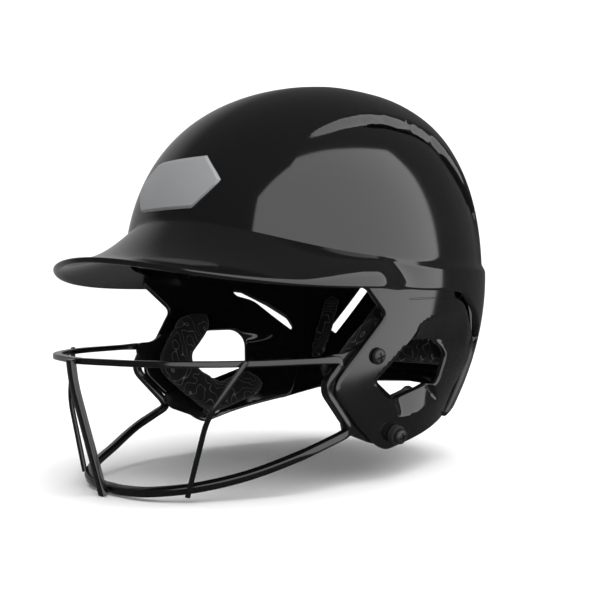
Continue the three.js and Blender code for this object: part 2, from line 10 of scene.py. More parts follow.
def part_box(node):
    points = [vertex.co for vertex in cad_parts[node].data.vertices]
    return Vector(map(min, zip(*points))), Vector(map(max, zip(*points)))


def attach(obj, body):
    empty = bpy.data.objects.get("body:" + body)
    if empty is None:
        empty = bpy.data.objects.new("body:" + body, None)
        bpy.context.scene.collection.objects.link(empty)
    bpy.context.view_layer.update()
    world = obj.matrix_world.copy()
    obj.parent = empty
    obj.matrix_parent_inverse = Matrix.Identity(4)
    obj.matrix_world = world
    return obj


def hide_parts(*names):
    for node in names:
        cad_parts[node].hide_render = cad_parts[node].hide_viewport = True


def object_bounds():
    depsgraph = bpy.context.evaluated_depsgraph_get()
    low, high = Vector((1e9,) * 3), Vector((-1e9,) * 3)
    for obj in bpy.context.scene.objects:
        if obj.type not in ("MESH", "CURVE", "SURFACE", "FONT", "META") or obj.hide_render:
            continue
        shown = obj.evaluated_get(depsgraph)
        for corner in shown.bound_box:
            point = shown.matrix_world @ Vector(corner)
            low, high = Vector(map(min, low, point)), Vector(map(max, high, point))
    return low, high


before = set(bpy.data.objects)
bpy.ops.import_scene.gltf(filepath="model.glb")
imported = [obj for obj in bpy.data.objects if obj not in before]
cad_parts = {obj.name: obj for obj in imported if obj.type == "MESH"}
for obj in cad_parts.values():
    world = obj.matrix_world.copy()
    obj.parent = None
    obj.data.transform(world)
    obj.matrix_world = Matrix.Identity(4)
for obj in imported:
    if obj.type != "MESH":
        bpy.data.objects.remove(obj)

# Batting helmet with a wire face guard. Shapes are worked out in millimetres in the part's
# frame (+X forward, +Y the wearer's left, +Z up) and stored in metres.
MM = 0.001
cad_low, cad_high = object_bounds()
_, shell_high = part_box("outer_shell")
LEFT_RIGHT = (("left", 1), ("right", -1))


# ---- driving dimensions ------------------------------------------------------
CROWN_Z = shell_high.z / MM
BILL_TIP_X = shell_high.x / MM
BASE_Z = 8.0  # where the dome turns into the skirt
FRONT, BACK, HALF_W = 117.0, 124.0, 101.0  # reach ahead, behind and to each side
SQUARE_H, SQUARE_V = 0.05, 0.09  # squareness in plan and in elevation
CROWN_X = -14.0
WALL = 3.6
BAND = 1.02  # the skirt's width as a share of the dome's foot
NECK_DRAW = 2.55e-5  # how fast the skirt draws in towards the neck
BILL_LIP = 4.0
BILL_TIP_Z = 12.5
CREASE_Z, CREASE_RISE = 13.0, 22.0  # crease at the side, and its rise to the forehead
FLAP_Y, FLAP_TOE = 102.0, 0.214  # the flap's outer face at z 0, and its lean inwards
EDGE_R = 1.3



# ---- camera --------------------------------------------------------------------
CAMERA_AT = (0.4241, 0.4193, -0.003)
CAMERA_HEADING = math.radians(135)
LENS, SENSOR_W = 55.7, 36


def make_camera():
    """Level camera off the wearer's left front."""
    data = bpy.data.cameras.new("camera")
    cam = bpy.data.objects.new("camera", data)
    bpy.context.scene.collection.objects.link(cam)
    cam.location = CAMERA_AT
    cam.rotation_euler = (math.radians(90), 0, CAMERA_HEADING)
    data.sensor_width = SENSOR_W
    data.lens = LENS
    data.shift_y = -0.0117
    data.clip_start = 0.01
    bpy.context.scene.camera = cam


make_camera()


# ---- surfaces ------------------------------------------------------------------
def outline(phi, off=0.0):
    """Plan of the dome's foot at an azimuth, off millimetres in from its skin."""
    c, s = np.cos(phi), np.sin(phi)
    a = np.where(c > 0, FRONT, BACK) - off
    return a * c * (1 + SQUARE_H * s * s), (HALF_W - off) * s * (1 + SQUARE_H * c * c)


def dome(phi, psi, off=0.0):
    """Point of the dome at an azimuth and an angle down from the crown."""
    c, s = np.cos(psi), np.sin(psi)
    ox, oy = outline(phi, off)
    rho = s * (1 + SQUARE_V * c * c)
    z = BASE_Z + (CROWN_Z - off - BASE_Z) * c * (1 + SQUARE_V * s * s)
    return np.stack([CROWN_X * c * c + rho * ox, rho * oy, z + 0 * rho], -1)


PSI_TABLE = np.linspace(0, math.pi / 2, 400)
HEIGHT_TABLE = np.cos(PSI_TABLE) * (1 + SQUARE_V * np.sin(PSI_TABLE) ** 2)


def psi_at(z, off=0.0):
    """Angle down from the crown at which the dome has the height z."""
    share = (np.asarray(z, float) - BASE_Z) / (CROWN_Z - off - BASE_Z)
    return np.interp(-share, -HEIGHT_TABLE, PSI_TABLE)


def inside(phi, z, off):
    """One surface inside the shell from crown to neck, off millimetres in from its skin."""
    up = dome(phi, psi_at(np.maximum(z, BASE_Z), off), off)
    scale = np.minimum(1, BAND - NECK_DRAW * (z - BASE_Z) ** 2)
    ox, oy = outline(phi, off)
    down = np.stack([scale * ox, scale * oy, z + 0 * ox], -1)
    return np.where((z > BASE_Z + 2)[..., None], up, down)


def skirt(phi, z, off=0.0):
    """Point of the band below the dome."""
    ox, oy = outline(phi, off)
    s = BAND - NECK_DRAW * (z - BASE_Z) ** 2
    return np.stack([s * ox, s * oy, z + 0 * ox], -1)


def crease_z(phi):
    """Height of the crease between the dome and the ledge or bill."""
    return CREASE_Z + CREASE_RISE * np.maximum(0, np.cos(phi)) ** 2.5


def lip_z(phi):
    """Height of the bill's lip, which rises to its tip."""
    return BILL_TIP_Z * np.maximum(0, np.cos(phi)) ** 7


def bill_reach(phi):
    """How far the bill stands out from the skirt."""
    c = np.maximum(0, np.cos(phi))
    return (BILL_TIP_X - BAND * FRONT) * (0.7 * c * c + 0.3 * c)


def flap_y(x, z):
    """Distance of the flap's outer face from the middle plane."""
    low = np.clip((-z - 46) / 33, 0, 1.3)
    bow = np.where(x > 0, 0.00095, 0.0028 + 0.0025 * low)
    return FLAP_Y + FLAP_TOE * z - bow * x * x


def smooth(a, b, x):
    """Eased step from 0 at a to 1 at b."""
    t = np.clip((x - a) / (b - a), 0, 1)
    return t * t * (3 - 2 * t)


# ---- mesh helpers ----------------------------------------------------------------
def add_object(name, verts, faces, material, smooth_angle=40):
    """A mesh object from millimetre points, shaded smooth except across sharp edges."""
    mesh = bpy.data.meshes.new(name)
    mesh.from_pydata([tuple(v) for v in np.asarray(verts, float) * MM], [], faces)
    mesh.validate()
    bm = bmesh.new()
    bm.from_mesh(mesh)
    bmesh.ops.remove_doubles(bm, verts=bm.verts, dist=1e-7)
    bmesh.ops.recalc_face_normals(bm, faces=bm.faces)
    bm.to_mesh(mesh)
    bm.free()
    mesh.shade_smooth()
    mesh.set_sharp_from_angle(angle=math.radians(smooth_angle))
    obj = bpy.data.objects.new(name, mesh)
    bpy.context.scene.collection.objects.link(obj)
    if material:
        mesh.materials.append(material)
    return obj


def apply_modifiers(obj):
    """Replaces the object's mesh by its evaluated one."""
    graph = bpy.context.evaluated_depsgraph_get()
    mesh = bpy.data.meshes.new_from_object(obj.evaluated_get(graph))
    obj.modifiers.clear()
    obj.data = mesh


CUT_EDGE = math.radians(35)


def cut(obj, cutter):
    """Boolean difference, applied, with its new edges sharp; the cutter is removed."""
    mod = obj.modifiers.new("cut", "BOOLEAN")
    mod.operation = "DIFFERENCE"
    mod.solver = "EXACT"
    mod.object = cutter
    apply_modifiers(obj)
    obj.data.set_sharp_from_angle(angle=CUT_EDGE)
    bpy.data.objects.remove(cutter)


def finish_part(obj, slot, *nodes):
    """Fixes the piece to the helmet, in place of its CAD nodes."""
    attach(obj, "root")
    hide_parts(*nodes)


def mirror_points(verts):
    return np.asarray(verts, float) * (1, -1, 1)


def grid_faces(rows, cols, around=False):
    """Quads of a grid of points, closed sideways when it runs around."""
    faces = []
    width = cols if around else cols - 1
    for j in range(rows - 1):
        for i in range(width):
            a = j * cols + i
            b = j * cols + (i + 1) % cols
            faces.append((a, b, b + cols, a + cols))
    return faces


def closed_sheets(front, rear):
    """Points and faces of two facing grids, joined all round their rims."""
    rows, cols = front.shape[:2]
    count = rows * cols
    faces = grid_faces(rows, cols)
    faces += [tuple(i + count for i in reversed(f)) for f in faces]
    rim = list(range(cols))
    rim += [j * cols + cols - 1 for j in range(1, rows)]
    rim += [(rows - 1) * cols + i for i in range(cols - 2, -1, -1)]
    rim += [j * cols for j in range(rows - 2, 0, -1)]
    for k, i in enumerate(rim):
        j = rim[(k + 1) % len(rim)]
        faces.append((i, i + count, j + count, j))
    return np.vstack([front.reshape(-1, 3), rear.reshape(-1, 3)]), faces


def section_ring(width, height, corner, steps=3):
    """Rounded rectangle, counter-clockwise, centred on the origin."""
    ring = []
    for k, (sx, sy) in enumerate(((1, 1), (-1, 1), (-1, -1), (1, -1))):
        cx, cy = sx * (width / 2 - corner), sy * (height / 2 - corner)
        for j in range(steps + 1):
            a = math.pi / 2 * (k + j / steps)
            ring.append((cx + corner * math.cos(a), cy + corner * math.sin(a)))
    return ring


def sweep(path, ups, ring, closed=False):
    """Section swept along a path: the ring's x lies across, its y along the up directions."""
    path = np.asarray(path, float)
    count = len(path)
    if closed:
        ahead, behind = np.roll(path, -1, 0), np.roll(path, 1, 0)
    else:
        ahead = path[np.minimum(np.arange(count) + 1, count - 1)]
        behind = path[np.maximum(np.arange(count) - 1, 0)]
    t = ahead - behind
    t /= np.linalg.norm(t, axis=1, keepdims=True)
    side = np.cross(ups, t)
    side /= np.linalg.norm(side, axis=1, keepdims=True)
    top = np.cross(t, side)
    verts = [p + side[i] * x + top[i] * y for i, p in enumerate(path) for x, y in ring]
    n = len(ring)
    faces = []
    for i in range(count if closed else count - 1):
        j = (i + 1) % count
        for k in range(n):
            m = (k + 1) % n
            faces.append((i * n + k, i * n + m, j * n + m, j * n + k))
    if not closed:
        faces.append(tuple(range(n)))
        faces.append(tuple((count - 1) * n + k for k in range(n - 1, -1, -1)))
    return verts, faces


def eased(corners, radius, step):
    """Path through corners with rounded bends, evenly stepped."""
    corners = [np.array(c, float) for c in corners]
    pts = [corners[0]]
    for a, p, b in zip(corners, corners[1:], corners[2:]):
        reach = min(radius, np.linalg.norm(a - p) / 2.05, np.linalg.norm(b - p) / 2.05)
        start = p + (a - p) / np.linalg.norm(a - p) * reach
        end = p + (b - p) / np.linalg.norm(b - p) * reach
        for t in np.linspace(0, 1, 9):
            pts.append((1 - t) ** 2 * start + 2 * t * (1 - t) * p + t * t * end)
    pts.append(corners[-1])
    return resample(pts, step)


def resample(pts, step, closed=False):
    """The path with its points spread evenly, about a step apart."""
    pts = np.asarray(pts, float)
    if closed:
        pts = np.vstack([pts, pts[:1]])
    run = np.r_[0, np.cumsum(np.linalg.norm(np.diff(pts, axis=0), axis=1))]
    count = max(3, int(round(run[-1] / step)) + 1)
    at = np.linspace(0, run[-1], count)
    out = np.stack([np.interp(at, run, pts[:, k]) for k in range(pts.shape[1])], -1)
    return out[:-1] if closed else out


def spline(points, count):
    """Uniform Catmull-Rom curve through the points."""
    pts = np.asarray(points, float)
    ends = np.vstack([2 * pts[0] - pts[1], pts, 2 * pts[-1] - pts[-2]])
    out = []
    spans = len(pts) - 1
    for t in np.linspace(0, spans, count):
        k = min(int(t), spans - 1)
        f = t - k
        p0, p1, p2, p3 = ends[k:k + 4]
        out.append(0.5 * (2 * p1 + (p2 - p0) * f + (2 * p0 - 5 * p1 + 4 * p2 - p3) * f * f
                          + (3 * p1 - p0 - 3 * p2 + p3) * f ** 3))
    return np.array(out)


# ---- materials -------------------------------------------------------------------
def new_material(name, color, roughness, metallic=0.0, specular=0.5):
    mat = bpy.data.materials.new(name)
    mat.use_nodes = True
    b = mat.node_tree.nodes["Principled BSDF"]
    b.inputs["Base Color"].default_value = (*color, 1)
    b.inputs["Roughness"].default_value = roughness
    b.inputs["Metallic"].default_value = metallic
    b.inputs["Specular IOR Level"].default_value = specular
    return mat


def add_noise(mat, scale, detail=2.0, rough=0.5):
    """Noise on object coordinates; returns its node."""
    tree = mat.node_tree
    coord = tree.nodes.new("ShaderNodeTexCoord")
    noise = tree.nodes.new("ShaderNodeTexNoise")
    noise.inputs["Scale"].default_value = scale
    noise.inputs["Detail"].default_value = detail
    noise.inputs["Roughness"].default_value = rough
    tree.links.new(coord.outputs["Object"], noise.inputs["Vector"])
    return noise


def add_bump(mat, height, strength, distance):
    """Fine relief from a height output."""
    tree = mat.node_tree
    bump = tree.nodes.new("ShaderNodeBump")
    bump.inputs["Strength"].default_value = strength
    bump.inputs["Distance"].default_value = distance
    tree.links.new(height, bump.inputs["Height"])
    tree.links.new(bump.outputs["Normal"], tree.nodes["Principled BSDF"].inputs["Normal"])


def vary_roughness(mat, scale, low, high):
    """Roughness that drifts between two values."""
    tree = mat.node_tree
    noise = add_noise(mat, scale, 4)
    ramp = tree.nodes.new("ShaderNodeMapRange")
    ramp.inputs["From Min"].default_value = 0.3
    ramp.inputs["From Max"].default_value = 0.7
    ramp.inputs["To Min"].default_value = low
    ramp.inputs["To Max"].default_value = high
    tree.links.new(noise.outputs["Fac"], ramp.inputs["Value"])
    tree.links.new(ramp.outputs["Result"], tree.nodes["Principled BSDF"].inputs["Roughness"])


def shell_material():
    mat = new_material("gloss_black_shell", (0.004, 0.004, 0.0043), 0.09)
    vary_roughness(mat, 18, 0.06, 0.11)
    return mat


def guard_material():
    mat = new_material("powder_black_wire", (0.0035, 0.0035, 0.0038), 0.12)
    vary_roughness(mat, 60, 0.1, 0.15)
    noise = add_noise(mat, 900, 2)
    add_bump(mat, noise.outputs["Fac"], 0.05, 0.0002)
    return mat


def metal_material(name, color, low, high, metallic=0.7):
    mat = new_material(name, color, low, metallic=metallic)
    vary_roughness(mat, 140, low, high)
    return mat


def rubber_material():
    mat = new_material("black_rubber", (0.012, 0.012, 0.012), 0.75, specular=0.3)
    noise = add_noise(mat, 700, 3)
    add_bump(mat, noise.outputs["Fac"], 0.2, 0.0002)
    return mat


def badge_material():
    mat = new_material("grey_badge", (0.21, 0.213, 0.218), 0.38)
    vary_roughness(mat, 90, 0.3, 0.45)
    return mat


def pad_material():
    """Near-black knit with thin pale contour lines."""
    mat = new_material("contour_fabric", (0.01, 0.01, 0.011), 0.9, specular=0.2)
    tree = mat.node_tree
    bsdf = tree.nodes["Principled BSDF"]
    bsdf.inputs["Sheen Weight"].default_value = 0.08
    bsdf.inputs["Sheen Roughness"].default_value = 0.5
    relief = add_noise(mat, 22, 3.0, 0.5)
    levels = tree.nodes.new("ShaderNodeMath")
    levels.operation = "MULTIPLY"
    levels.inputs[1].default_value = 26
    tree.links.new(relief.outputs["Fac"], levels.inputs[0])
    wave = tree.nodes.new("ShaderNodeMath")
    wave.operation = "PINGPONG"
    wave.inputs[1].default_value = 0.5
    tree.links.new(levels.outputs[0], wave.inputs[0])
    line = tree.nodes.new("ShaderNodeMapRange")
    line.inputs["From Min"].default_value = 0.045
    line.inputs["From Max"].default_value = 0.02
    tree.links.new(wave.outputs[0], line.inputs["Value"])
    mix = tree.nodes.new("ShaderNodeMix")
    mix.data_type = "RGBA"
    mix.inputs["A"].default_value = (0.004, 0.004, 0.0043, 1)
    mix.inputs["B"].default_value = (0.1, 0.1, 0.105, 1)
    tree.links.new(line.outputs["Result"], mix.inputs["Factor"])
    tree.links.new(mix.outputs["Result"], bsdf.inputs["Base Color"])
    knit = add_noise(mat, 1400, 1)
    add_bump(mat, knit.outputs["Fac"], 0.35, 0.0004)
    return mat


SHELL = shell_material()
GUARD = guard_material()
TAB = metal_material("black_tab", (0.005, 0.005, 0.0053), 0.12, 0.18, 0.0)
SCREW = metal_material("black_screw", (0.03, 0.03, 0.031), 0.25, 0.4)
NUT = metal_material("steel_nut", (0.45, 0.45, 0.46), 0.3, 0.45, 1.0)
RUBBER = rubber_material()
BADGE = badge_material()
PAD = pad_material()


# ---- outer shell -------------------------------------------------------------------
COLUMNS = 480
DOME_ROWS, BAND_ROWS, UNDER_ROWS, INNER_ROWS = 72, 34, 14, 40
BEVEL_SHARE, BEVEL_DROP = 0.12, 2.2
LEDGE_STEEPNESS, BILL_EXTRA = 0.45, 1.65
# the ridge above each ear: azimuths, angles down from the crown and how strong it is there
RIDGE_PHI = np.radians([40, 44, 52, 60, 69, 80, 95, 105, 113, 120, 126])
RIDGE_PSI = np.radians([56.5, 54, 50, 46.6, 44, 42.4, 43.8, 47.2, 55.3, 64.1, 76])
RIDGE_AMOUNT = [0, 0.0, 0.35, 0.7, 0.95, 1, 1, 1, 1, 0.8, 0]


def ridge_lift(phi, psi):
    """The crown stands proud of the sides along a swept ridge above each ear."""
    side = np.abs(phi)
    ridge = np.interp(side, RIDGE_PHI, RIDGE_PSI)
    slope = np.interp(side, 0.5 * (RIDGE_PHI[1:] + RIDGE_PHI[:-1]),
                      np.diff(RIDGE_PSI) / np.diff(RIDGE_PHI))
    amount = np.interp(side, RIDGE_PHI, RIDGE_AMOUNT, left=0, right=0)
    away = (psi - ridge) * 112 / np.sqrt(1 + (slope / np.maximum(np.sin(psi), 0.3)) ** 2)
    wall = 5.5
    above = 1.3 * np.exp(np.minimum(away, 0) / 26)
    below = -2.4 * np.exp(-np.maximum(away - wall, 0) / 26)
    t = np.clip(away / wall, 0, 1)
    lift = np.where(away < 0, above, np.where(away > wall, below, 1.3 - 3.7 * t))
    return amount * lift


def arch_bottom(top):
    """Where each column of the band ends: azimuth and height, for azimuths 0 to 180 degrees."""
    deg = np.degrees(top)
    stops = [0, 98, 103, 112, 120, 126, 129, 136, 139, 150, 165, 180]
    phis = [0, 98, 104, 113.5, 121.5, 124.5, 122.5, 117.0, 118.5, 136, 160, 180]
    drops = [0, 0, -1.5, -11, -21, -30, -38, -76, -79, -72, -67, -65.5]
    return np.radians(np.interp(deg, stops, phis)), np.interp(deg, stops, drops)


def dome_rows(phi, foot_psi):
    """Outer face from the crown down to the crease, with its ridge."""
    psi = np.linspace(0, 1, DOME_ROWS) ** 0.9 * foot_psi
    rows = dome(phi, psi)
    normal = np.stack([rows[:, 0] - CROWN_X, rows[:, 1] * 1.3, rows[:, 2]], -1)
    normal /= np.linalg.norm(normal, axis=1, keepdims=True)
    return rows + normal * ridge_lift(phi, psi)[:, None]


def band_rows(phi, root, end_phi, end_z, w):
    """Outer face below the crease: a short bevel out to the prouder skirt, then down."""
    bevel_z = float(crease_z(phi)) - BEVEL_DROP
    past = w - BEVEL_SHARE
    zs = np.where(w < BEVEL_SHARE, root[2] + (bevel_z - root[2]) * w / BEVEL_SHARE,
                  bevel_z + (end_z - bevel_z) * past / (1 - BEVEL_SHARE))
    phis = phi + (end_phi - phi) * past.clip(0) / (1 - BEVEL_SHARE)
    band = skirt(phis, np.minimum(zs, BASE_Z))
    band[:, 2] = zs
    proud = np.clip(w / BEVEL_SHARE, 0, 1)
    flat_root = np.hypot(root[0], root[1])
    flat = np.hypot(band[:, 0], band[:, 1])
    scale = (flat_root + (flat - flat_root) * proud) / flat
    band[:, 0] *= scale
    band[:, 1] *= scale
    return band


def bill_rows(phi, root, w):
    """Outer face from the crease out to the lip of the bill or ledge."""
    ox, oy = outline(phi)
    base = math.hypot(ox, oy)
    far = BAND * base + float(bill_reach(phi))
    flat_root = np.hypot(root[0], root[1])
    r = flat_root + (far - flat_root) * w
    lip_top = float(lip_z(phi)) + BILL_LIP * 0.75
    steepness = LEDGE_STEEPNESS + BILL_EXTRA * max(0.0, math.cos(phi)) ** 3
    z = lip_top + (root[2] - lip_top) * (1 - w) ** steepness
    return np.stack([ox / base * r, oy / base * r, z], -1)


def under_bill(phi, root, lip, weight, v):
    """Inner face under the bill, from the lip back to the inside of the shell."""
    ox, oy = outline(phi, WALL)
    base = math.hypot(ox, oy)
    r_lip = math.hypot(lip[0], lip[1])
    z_low = lip[2] - BILL_LIP * 0.75 * weight - 1.5 * (1 - weight)
    r = r_lip - 1.2 + (base - r_lip + 1.2) * v
    z = z_low + 0.32 * (root[2] - z_low) * weight * v + 2.0 * v
    return np.stack([ox / base * r, oy / base * r, z], -1)


def rounded_edge(before, a, b):
    """Rows round the lower edge, from the outer face's end to the inner face's start."""
    tangent = (a - before) / np.linalg.norm(a - before)
    bulge = 0.5 * np.linalg.norm(b - a)
    s = np.linspace(0, math.pi, 9)[1:-1]
    mid, half = (a + b) / 2, (a - b) / 2
    return mid + np.cos(s)[:, None] * half + np.sin(s)[:, None] * tangent * bulge * 0.9


def shell_profile(top):
    """Outer, edge and inner rows of the shell for one signed column azimuth."""
    sign = 1 if top >= 0 else -1
    phi = abs(top)
    rows = dome_rows(phi, float(psi_at(float(crease_z(phi)) + 2.5)))
    root = rows[-1]
    end_phi, end_z = (float(v[0]) for v in arch_bottom(np.array([phi])))
    w = np.linspace(0, 1, BAND_ROWS + 1)[1:]
    band = band_rows(phi, root, end_phi, end_z, w)
    weight = float(smooth(0.5, 9, float(bill_reach(phi))))
    if weight > 0:
        band = band * (1 - weight) + bill_rows(phi, root, w) * weight
    lip = band[-1]
    v = np.linspace(0, 1, UNDER_ROWS)
    back = skirt(end_phi + (phi - end_phi) * v, end_z + (9 - end_z) * v, WALL)
    if weight > 0:
        back = under_bill(phi, root, lip, weight, v) * weight + back * (1 - weight)
    z_top = max(9.5, back[-1][2] + 1)
    inner = dome(phi, np.linspace(float(psi_at(z_top, WALL)), 0, INNER_ROWS), WALL)
    edge = rounded_edge(band[-2], lip, back[0])
    return np.vstack([rows, band, edge, back, inner]) * (1, sign, 1)


def build_shell():
    """The dome, bill, ledge and skirt as one closed wall."""
    tops = (np.arange(COLUMNS) + 0.5) / COLUMNS * 2 * math.pi - math.pi
    profiles = np.stack([shell_profile(t) for t in tops], 1)
    rows = profiles.shape[0]
    verts = profiles.reshape(-1, 3)
    return add_object("outer_shell_body", verts, grid_faces(rows, COLUMNS, True), SHELL, 35)


shell = build_shell()


# ---- ear flaps -----------------------------------------------------------------------
FLAP_OUTLINE = [
    (-64, 4), (57, 4), (56.5, 1.5), (36, -15.5), (64, -49), (65, -57), (50, -71), (25, -89.5),
    (17, -92.5), (-2, -88.7), (-30, -83.5), (-46, -80.5), (-54, -79), (-66, -60), (-76, -38),
    (-62, -27), (-40, -9), (-24, -5), (-22, 3),
]
FLAP_RADII = [1, 1, 1, 4, 6, 6, 8, 6, 6, 6, 6, 6, 6, 6, 4, 5, 5, 4, 1]
FLAP_STEP = 1.6
EAR_HOLE = [
    (34.5, -51), (11.5, -31), (-17, -31), (-28, -38), (-25, -55), (-20, -57.5), (11, -64.5),
]
# Outer crease of the dished margin behind and above the hole, and of the flat facet below it.
DISH = [(37, -50.5), (33, -55.2), (9.8, -73), (-27.3, -67.6), (-46, -64), (-53, -44),
        (-52, -24), (-40, -15), (-12, -15), (4, -19), (13, -29.6)]


def rounded_loop(corners, radius, step):
    """Closed outline with rounded corners, evenly stepped."""
    pts = []
    n = len(corners)
    radii = radius if isinstance(radius, (list, tuple)) else [radius] * n
    for i in range(n):
        p = np.array(corners[i], float)
        a = np.array(corners[i - 1], float) - p
        b = np.array(corners[(i + 1) % n], float) - p
        reach = min(radii[i], np.linalg.norm(a) / 2.05, np.linalg.norm(b) / 2.05)
        start = p + a / np.linalg.norm(a) * reach
        end = p + b / np.linalg.norm(b) * reach
        for t in np.linspace(0, 1, 9):
            pts.append((1 - t) ** 2 * start + 2 * t * (1 - t) * p + t * t * end)
    return resample(pts, step, closed=True)


def inset_loop(loop, distance):
    """The loop moved to its left by a distance (inwards for a counter-clockwise loop)."""
    ahead, behind = np.roll(loop, -1, 0), np.roll(loop, 1, 0)
    t = ahead - behind
    t /= np.linalg.norm(t, axis=1, keepdims=True)
    return loop + np.stack([-t[:, 1], t[:, 0]], -1) * distance


def area(loop):
    """Signed area, positive for a counter-clockwise loop."""
    x, y = loop[:, 0], loop[:, 1]
    return 0.5 * np.sum(x * np.roll(y, -1) - np.roll(x, -1) * y)


def to_edges(points, loop):
    """Distance from each point to a closed loop."""
    a, b = loop, np.roll(loop, -1, 0)
    ab = b - a
    out = np.empty(len(points))
    for k in range(0, len(points), 400):
        p = points[k:k + 400, None]
        t = np.clip(((p - a) * ab).sum(-1) / (ab ** 2).sum(-1), 0, 1)
        out[k:k + 400] = np.sqrt((((a + t[..., None] * ab) - p) ** 2).sum(-1)).min(1)
    return out


def inside_loop(points, loop):
    x, y = points[:, 0][:, None], points[:, 1][:, None]
    a, b = loop, np.roll(loop, -1, 0)
    crosses = (a[:, 1] > y) != (b[:, 1] > y)
    with np.errstate(divide="ignore", invalid="ignore"):
        at = a[:, 0] + (y - a[:, 1]) / (b[:, 1] - a[:, 1]) * (b[:, 0] - a[:, 0])
    return (crosses & (x < at)).sum(1) % 2 == 1


def panel(outer_loop, holes, surface, thickness, edge_r, spacing, extra_loops=()):
    """Closed plate trimmed by loops in a parameter plane, with rounded edges.

    surface(points) gives positions, unit normals and how deep each point is sunk. The plate
    lies on the inner side, and its triangles follow the extra loops."""
    loops = [outer_loop if area(outer_loop) > 0 else outer_loop[::-1]]
    loops += [h if area(h) < 0 else h[::-1] for h in holes]
    points, edges = [], []

    for loop in loops:
        start, n = len(points), len(loop)
        points.extend(loop.tolist())
        edges.extend((start + i, start + (i + 1) % n) for i in range(n))
    for share in (0.12, 0.35, 0.65, 1.0):
        for loop in loops:
            points.extend(inset_loop(loop, edge_r * share).tolist())
    for loop in extra_loops:
        points.extend(loop.tolist())
    low, high = loops[0].min(0), loops[0].max(0)
    xs, ys = np.meshgrid(np.arange(low[0], high[0], spacing),
                         np.arange(low[1], high[1], spacing * 0.87))
    xs = xs + (np.arange(xs.shape[0]) % 2)[:, None] * spacing / 2
    grid = np.stack([xs.ravel(), ys.ravel()], -1)
    keep = inside_loop(grid, loops[0])
    for h in loops[1:]:
        keep &= ~inside_loop(grid, h)
    grid = grid[keep]
    near = np.min([to_edges(grid, lp) for lp in loops], 0)
    grid = grid[near > edge_r + spacing * 0.55]
    for loop in extra_loops:
        grid = grid[to_edges(grid, loop) > spacing * 0.45]
    points.extend(grid.tolist())
    made = delaunay_2d_cdt([Vector(p) for p in points], edges, [], 0, 1e-5)
    pts = np.array([tuple(v) for v in made[0]])
    tris = np.array([f for f in made[2]])
    centre = pts[tris].mean(1)
    keep = inside_loop(centre, loops[0])
    for h in loops[1:]:
        keep &= ~inside_loop(centre, h)
    tris = tris[keep]
    distance = np.min([to_edges(pts, lp) for lp in loops], 0)
    d = np.clip(distance, 0, edge_r)
    drop = edge_r - np.sqrt(np.maximum(edge_r ** 2 - (edge_r - d) ** 2, 0))
    place, normal, depth = surface(pts)
    outer = place - normal * (drop + depth)[:, None]
    inner = place - normal * (thickness - drop + depth)[:, None]
    count = len(pts)
    verts = np.vstack([outer, inner])
    faces = [tuple(t) for t in tris]
    faces += [(t[2] + count, t[1] + count, t[0] + count) for t in tris]
    used = {}
    for t in tris:
        for a, b in ((t[0], t[1]), (t[1], t[2]), (t[2], t[0])):
            key = (min(a, b), max(a, b))
            used.setdefault(key, []).append((a, b))
    for pair in used.values():
        if len(pair) == 1:
            a, b = pair[0]
            faces.append((b, a, a + count, b + count))
    return verts, faces


def flap_normals(x, z):
    """Outward unit normals of the flap's face, before it is dished."""
    e = 0.5
    dx = (flap_y(x + e, z) - flap_y(x - e, z)) / (2 * e)
    dz = (flap_y(x, z + e) - flap_y(x, z - e)) / (2 * e)
    n = np.stack([-dx, np.ones_like(dx), -dz], -1)
    return n / np.linalg.norm(n, axis=1, keepdims=True)


HOLE_LOOP = rounded_loop(EAR_HOLE, [5, 5, 6, 5, 4, 4, 5], 1.1)
DISH_LOOP = rounded_loop(DISH, [3, 3, 2, 4, 8, 8, 8, 10, 9, 9, 4], 1.2)
DISH_DEPTH = 5.5
FACET_END = ((-20, -57.5), (-27.3, -67.2))


def flap_surface(pts):
    """The flap's face, sunk between the outer crease and the ear hole."""
    x, z = pts[:, 0], pts[:, 1]
    place = np.stack([x, flap_y(x, z), z], -1)
    normal = flap_normals(x, z)
    to_hole = to_edges(pts, HOLE_LOOP)
    to_crease = to_edges(pts, DISH_LOOP)
    within = inside_loop(pts, DISH_LOOP)
    share = np.where(within, to_crease / np.maximum(to_crease + to_hole, 1e-6), 0)
    depth = DISH_DEPTH * share * np.clip((to_crease + to_hole) / 6, 0, 1)
    # dished above the hole and along the facet below it, nearly flush behind it
    (ax, az), (bx, bz) = FACET_END
    ahead = ((bx - ax) * (z - az) - (bz - az) * (x - ax)) / math.hypot(bx - ax, bz - az)
    facet = np.clip(ahead / 1.5, 0, 1) * smooth(-48, -54, z)
    depth = depth * (0.15 + 0.85 * np.maximum(smooth(-40, -30, z), facet))
    return place, normal, depth


def build_flaps():
    outer = rounded_loop(FLAP_OUTLINE, FLAP_RADII, 1.3)
    verts, faces = panel(outer, [HOLE_LOOP], flap_surface, WALL, EDGE_R, FLAP_STEP, [DISH_LOOP])
    for side, sign in LEFT_RIGHT:
        pts = verts if sign > 0 else mirror_points(verts)
        yield add_object(side + "_flap", pts, faces, SHELL, 24)


flaps = list(build_flaps())
GROOVE = ((20, -6.3), (-35, -5.3))


def groove_cutter(name, sign):
    """A fine line scored along the top of the flap."""
    pts = np.linspace(GROOVE[0], GROOVE[1], 14)
    normal = flap_normals(pts[:, 0], pts[:, 1])
    path = np.stack([pts[:, 0], flap_y(pts[:, 0], pts[:, 1]), pts[:, 1]], -1)
    verts, faces = sweep(path, normal, section_ring(1.0, 1.1, 0.2))
    return add_object(name, verts if sign > 0 else mirror_points(verts), faces, None)


for flap, (side, sign) in zip(flaps, LEFT_RIGHT):
    cut(flap, groove_cutter(side + "_groove_cutter", sign))


